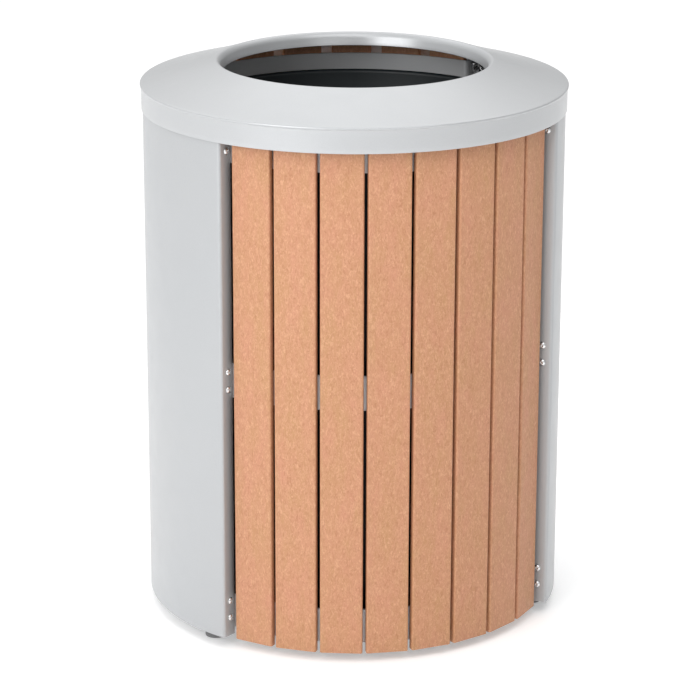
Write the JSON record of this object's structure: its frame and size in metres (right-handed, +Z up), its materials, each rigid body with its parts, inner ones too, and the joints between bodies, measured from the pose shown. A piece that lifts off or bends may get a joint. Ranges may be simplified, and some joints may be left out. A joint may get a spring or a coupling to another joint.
{
  "type": "litter bin",
  "caption": "Round outdoor litter bin: open-top spun lid, curved side panels, vertical board cladding front and back, lift-out liner and levelling feet.",
  "frame": {"origin": "on the ground at the bin's axis", "axes": "+Z up; the front group of boards faces -Y and the side panels are at +X and -X"},
  "size_m": [0.6374, 0.6374, 0.8432],
  "materials": {
    "lid_coat": "satin silver powder coat",
    "panel_coat": "satin silver powder coat",
    "band_coat": "satin grey powder coat",
    "board_plastic": "recycled plastic board with fine mottled flecks",
    "bolt_steel": "stainless",
    "zinc_steel": "zinc plated",
    "foot_plastic": "moulded, matte",
    "liner_plastic": "moulded, faint sheen"
  },
  "bodies": {
    "body": {"side_panel_left": "panel_coat", "side_panel_right": "panel_coat", "front_band_bottom": "band_coat", "front_band_middle": "band_coat", "front_band_top": "band_coat", "rear_band_bottom": "band_coat", "rear_band_middle": "band_coat", "rear_band_top": "band_coat", "front_board_1": "board_plastic", "front_board_2": "board_plastic", "front_board_3": "board_plastic", "front_board_4": "board_plastic", "front_board_5": "board_plastic", "front_board_6": "board_plastic", "front_board_7": "board_plastic", "front_board_8": "board_plastic", "rear_board_1": "board_plastic", "rear_board_2": "board_plastic", "rear_board_3": "board_plastic", "rear_board_4": "board_plastic", "rear_board_5": "board_plastic", "rear_board_6": "board_plastic", "rear_board_7": "board_plastic", "bolts_front_right_bottom": "bolt_steel", "bolts_front_right_middle": "bolt_steel", "bolts_front_right_top": "bolt_steel", "bolts_rear_right_bottom": "bolt_steel", "bolts_rear_right_middle": "bolt_steel", "bolts_rear_right_top": "bolt_steel", "bolts_rear_left_bottom": "bolt_steel", "bolts_rear_left_middle": "bolt_steel", "bolts_rear_left_top": "bolt_steel", "bolts_front_left_bottom": "bolt_steel", "bolts_front_left_middle": "bolt_steel", "bolts_front_left_top": "bolt_steel", "tether_eye_nut": "bolt_steel", "base_plate": "band_coat", "foot_lock_nut_1": "zinc_steel", "foot_lock_nut_2": "zinc_steel", "foot_lock_nut_3": "zinc_steel", "foot_lock_nut_4": "zinc_steel"},
    "lid": {"lid_shell": "lid_coat"},
    "liner": {"liner": "liner_plastic"},
    "foot_1": {"foot_pad_1": "foot_plastic", "foot_stud_1": "zinc_steel"},
    "foot_2": {"foot_pad_2": "foot_plastic", "foot_stud_2": "zinc_steel"},
    "foot_3": {"foot_pad_3": "foot_plastic", "foot_stud_3": "zinc_steel"},
    "foot_4": {"foot_pad_4": "foot_plastic", "foot_stud_4": "zinc_steel"}
  },
  "joints": [
    {"name": "lid_lift", "type": "slide", "parent": "body", "child": "lid", "axis": [0, 0, 1], "range_m": [0, 0.84]},
    {"name": "liner_lift", "type": "slide", "parent": "body", "child": "liner", "axis": [0, 0, 1], "range_m": [0, 0.79]},
    {"name": "foot_1_screw", "type": "slide", "parent": "body", "child": "foot_1", "axis": [0, 0, 1], "range_m": [-0.015, 0]},
    {"name": "foot_2_screw", "type": "slide", "parent": "body", "child": "foot_2", "axis": [0, 0, 1], "range_m": [-0.015, 0]},
    {"name": "foot_3_screw", "type": "slide", "parent": "body", "child": "foot_3", "axis": [0, 0, 1], "range_m": [-0.015, 0]},
    {"name": "foot_4_screw", "type": "slide", "parent": "body", "child": "foot_4", "axis": [0, 0, 1], "range_m": [-0.015, 0]}
  ],
  "couplings": [
    {"joint": "liner_lift", "follows": "lid_lift", "ratio": 0.94}
  ]
}
